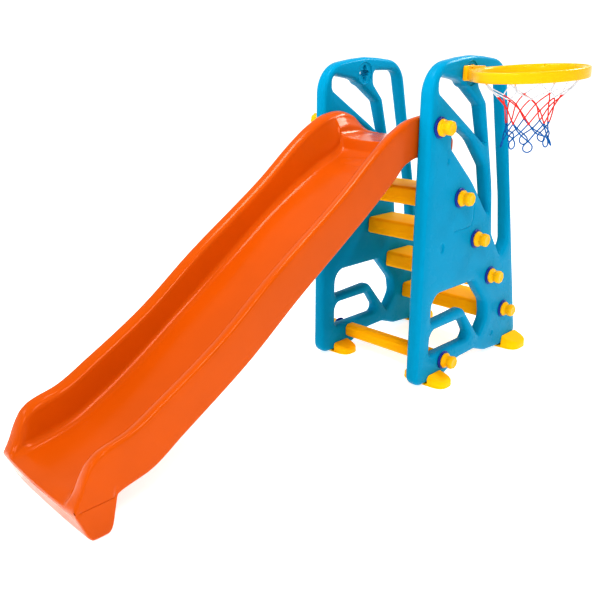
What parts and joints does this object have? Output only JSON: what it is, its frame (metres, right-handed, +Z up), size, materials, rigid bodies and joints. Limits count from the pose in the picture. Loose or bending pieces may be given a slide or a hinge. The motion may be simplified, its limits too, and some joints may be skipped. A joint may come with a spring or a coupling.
{
  "type": "toddler slide",
  "caption": "Moulded toddler slide: a wavy chute and a ladder of steps screwed between two windowed side panels on saddle feet, with a ball hoop and net keyed to one panel.",
  "frame": {"origin": "on the floor, under the middle of the whole object's footprint box", "axes": "+Z up; +Y from the chute's exit towards the ladder, the longest extent; +X across the slide, towards the panel that carries the hoop"},
  "size_m": [0.974, 2.029, 1.1596],
  "materials": {
    "chute_plastic": "blow-moulded polyethylene, glossy orange",
    "panel_plastic": "blow-moulded polyethylene, satin cyan blue",
    "step_plastic": "blow-moulded polyethylene, satin yellow",
    "foot_plastic": "injection-moulded yellow, satin",
    "knob_plastic": "injection-moulded yellow, satin gloss",
    "washer_plastic": "moulded navy blue, satin",
    "hoop_plastic": "moulded yellow, glossy",
    "net_cord": "braided cord in white, red and blue bands"
  },
  "bodies": {
    "frame": {"chute": "chute_plastic", "cross_bar": "step_plastic", "foot_front_left": "foot_plastic", "foot_front_right": "foot_plastic", "foot_rear_left": "foot_plastic", "foot_rear_right": "foot_plastic", "panel_left": "panel_plastic", "panel_right": "panel_plastic", "step_1": "step_plastic", "step_2": "step_plastic", "step_3": "step_plastic", "step_4": "step_plastic"},
    "hoop": {"hoop_bracket": "hoop_plastic", "hoop_ring": "hoop_plastic", "net": "net_cord"},
    "washer_chute_right": {"washer_chute_right": "washer_plastic"},
    "knob_chute_right": {"knob_chute_right": "knob_plastic"},
    "washer_chute_left": {"washer_chute_left": "washer_plastic"},
    "knob_chute_left": {"knob_chute_left": "knob_plastic"},
    "washer_step_1_right": {"washer_step_1_right": "washer_plastic"},
    "knob_step_1_right": {"knob_step_1_right": "knob_plastic"},
    "washer_step_1_left": {"washer_step_1_left": "washer_plastic"},
    "knob_step_1_left": {"knob_step_1_left": "knob_plastic"},
    "washer_step_2_right": {"washer_step_2_right": "washer_plastic"},
    "knob_step_2_right": {"knob_step_2_right": "knob_plastic"},
    "washer_step_2_left": {"washer_step_2_left": "washer_plastic"},
    "knob_step_2_left": {"knob_step_2_left": "knob_plastic"},
    "washer_step_3_right": {"washer_step_3_right": "washer_plastic"},
    "knob_step_3_right": {"knob_step_3_right": "knob_plastic"},
    "washer_step_3_left": {"washer_step_3_left": "washer_plastic"},
    "knob_step_3_left": {"knob_step_3_left": "knob_plastic"},
    "washer_step_4_right": {"washer_step_4_right": "washer_plastic"},
    "knob_step_4_right": {"knob_step_4_right": "knob_plastic"},
    "washer_step_4_left": {"washer_step_4_left": "washer_plastic"},
    "knob_step_4_left": {"knob_step_4_left": "knob_plastic"},
    "washer_bar_right": {"washer_bar_right": "washer_plastic"},
    "knob_bar_right": {"knob_bar_right": "knob_plastic"},
    "washer_bar_left": {"washer_bar_left": "washer_plastic"},
    "knob_bar_left": {"knob_bar_left": "knob_plastic"}
  },
  "joints": [
    {"name": "hoop_pull", "type": "slide", "parent": "frame", "child": "hoop", "axis": [1, 0, 0], "range_m": [0, 0.08]},
    {"name": "screw_chute_right_turn", "type": "hinge", "parent": "washer_chute_right", "child": "knob_chute_right", "pos_m": [0.102, 0.3475, 0.934], "axis": [1, 0, 0], "range_deg": [0, 1440]},
    {"name": "screw_chute_right_out", "type": "slide", "parent": "frame", "child": "washer_chute_right", "axis": [1, 0, 0], "range_m": [0, 0.0322]},
    {"name": "screw_chute_left_turn", "type": "hinge", "parent": "washer_chute_left", "child": "knob_chute_left", "pos_m": [-0.428, 0.3475, 0.934], "axis": [-1, 0, 0], "range_deg": [0, 1440]},
    {"name": "screw_chute_left_out", "type": "slide", "parent": "frame", "child": "washer_chute_left", "axis": [-1, 0, 0], "range_m": [0, 0.0322]},
    {"name": "screw_step_1_right_turn", "type": "hinge", "parent": "washer_step_1_right", "child": "knob_step_1_right", "pos_m": [0.102, 0.4985, 0.684], "axis": [1, 0, 0], "range_deg": [0, 1440]},
    {"name": "screw_step_1_right_out", "type": "slide", "parent": "frame", "child": "washer_step_1_right", "axis": [1, 0, 0], "range_m": [0, 0.0322]},
    {"name": "screw_step_1_left_turn", "type": "hinge", "parent": "washer_step_1_left", "child": "knob_step_1_left", "pos_m": [-0.428, 0.4985, 0.684], "axis": [-1, 0, 0], "range_deg": [0, 1440]},
    {"name": "screw_step_1_left_out", "type": "slide", "parent": "frame", "child": "washer_step_1_left", "axis": [-1, 0, 0], "range_m": [0, 0.0322]},
    {"name": "screw_step_2_right_turn", "type": "hinge", "parent": "washer_step_2_right", "child": "knob_step_2_right", "pos_m": [0.102, 0.6255, 0.516], "axis": [1, 0, 0], "range_deg": [0, 1440]},
    {"name": "screw_step_2_right_out", "type": "slide", "parent": "frame", "child": "washer_step_2_right", "axis": [1, 0, 0], "range_m": [0, 0.0322]},
    {"name": "screw_step_2_left_turn", "type": "hinge", "parent": "washer_step_2_left", "child": "knob_step_2_left", "pos_m": [-0.428, 0.6255, 0.516], "axis": [-1, 0, 0], "range_deg": [0, 1440]},
    {"name": "screw_step_2_left_out", "type": "slide", "parent": "frame", "child": "washer_step_2_left", "axis": [-1, 0, 0], "range_m": [0, 0.0322]},
    {"name": "screw_step_3_right_turn", "type": "hinge", "parent": "washer_step_3_right", "child": "knob_step_3_right", "pos_m": [0.102, 0.7525, 0.348], "axis": [1, 0, 0], "range_deg": [0, 1440]},
    {"name": "screw_step_3_right_out", "type": "slide", "parent": "frame", "child": "washer_step_3_right", "axis": [1, 0, 0], "range_m": [0, 0.0322]},
    {"name": "screw_step_3_left_turn", "type": "hinge", "parent": "washer_step_3_left", "child": "knob_step_3_left", "pos_m": [-0.428, 0.7525, 0.348], "axis": [-1, 0, 0], "range_deg": [0, 1440]},
    {"name": "screw_step_3_left_out", "type": "slide", "parent": "frame", "child": "washer_step_3_left", "axis": [-1, 0, 0], "range_m": [0, 0.0322]},
    {"name": "screw_step_4_right_turn", "type": "hinge", "parent": "washer_step_4_right", "child": "knob_step_4_right", "pos_m": [0.102, 0.8795, 0.18], "axis": [1, 0, 0], "range_deg": [0, 1440]},
    {"name": "screw_step_4_right_out", "type": "slide", "parent": "frame", "child": "washer_step_4_right", "axis": [1, 0, 0], "range_m": [0, 0.0322]},
    {"name": "screw_step_4_left_turn", "type": "hinge", "parent": "washer_step_4_left", "child": "knob_step_4_left", "pos_m": [-0.428, 0.8795, 0.18], "axis": [-1, 0, 0], "range_deg": [0, 1440]},
    {"name": "screw_step_4_left_out", "type": "slide", "parent": "frame", "child": "washer_step_4_left", "axis": [-1, 0, 0], "range_m": [0, 0.0322]},
    {"name": "screw_bar_right_turn", "type": "hinge", "parent": "washer_bar_right", "child": "knob_bar_right", "pos_m": [0.102, 0.4595, 0.0765], "axis": [1, 0, 0], "range_deg": [0, 1440]},
    {"name": "screw_bar_right_out", "type": "slide", "parent": "frame", "child": "washer_bar_right", "axis": [1, 0, 0], "range_m": [0, 0.0322]},
    {"name": "screw_bar_left_turn", "type": "hinge", "parent": "washer_bar_left", "child": "knob_bar_left", "pos_m": [-0.428, 0.4595, 0.0765], "axis": [-1, 0, 0], "range_deg": [0, 1440]},
    {"name": "screw_bar_left_out", "type": "slide", "parent": "frame", "child": "washer_bar_left", "axis": [-1, 0, 0], "range_m": [0, 0.0322]}
  ],
  "couplings": [
    {"joint": "screw_chute_right_out", "follows": "screw_chute_right_turn", "m_per_rad": 0.0012732},
    {"joint": "screw_chute_left_out", "follows": "screw_chute_left_turn", "m_per_rad": 0.0012732},
    {"joint": "screw_step_1_right_out", "follows": "screw_step_1_right_turn", "m_per_rad": 0.0012732},
    {"joint": "screw_step_1_left_out", "follows": "screw_step_1_left_turn", "m_per_rad": 0.0012732},
    {"joint": "screw_step_2_right_out", "follows": "screw_step_2_right_turn", "m_per_rad": 0.0012732},
    {"joint": "screw_step_2_left_out", "follows": "screw_step_2_left_turn", "m_per_rad": 0.0012732},
    {"joint": "screw_step_3_right_out", "follows": "screw_step_3_right_turn", "m_per_rad": 0.0012732},
    {"joint": "screw_step_3_left_out", "follows": "screw_step_3_left_turn", "m_per_rad": 0.0012732},
    {"joint": "screw_step_4_right_out", "follows": "screw_step_4_right_turn", "m_per_rad": 0.0012732},
    {"joint": "screw_step_4_left_out", "follows": "screw_step_4_left_turn", "m_per_rad": 0.0012732},
    {"joint": "screw_bar_right_out", "follows": "screw_bar_right_turn", "m_per_rad": 0.0012732},
    {"joint": "screw_bar_left_out", "follows": "screw_bar_left_turn", "m_per_rad": 0.0012732}
  ]
}
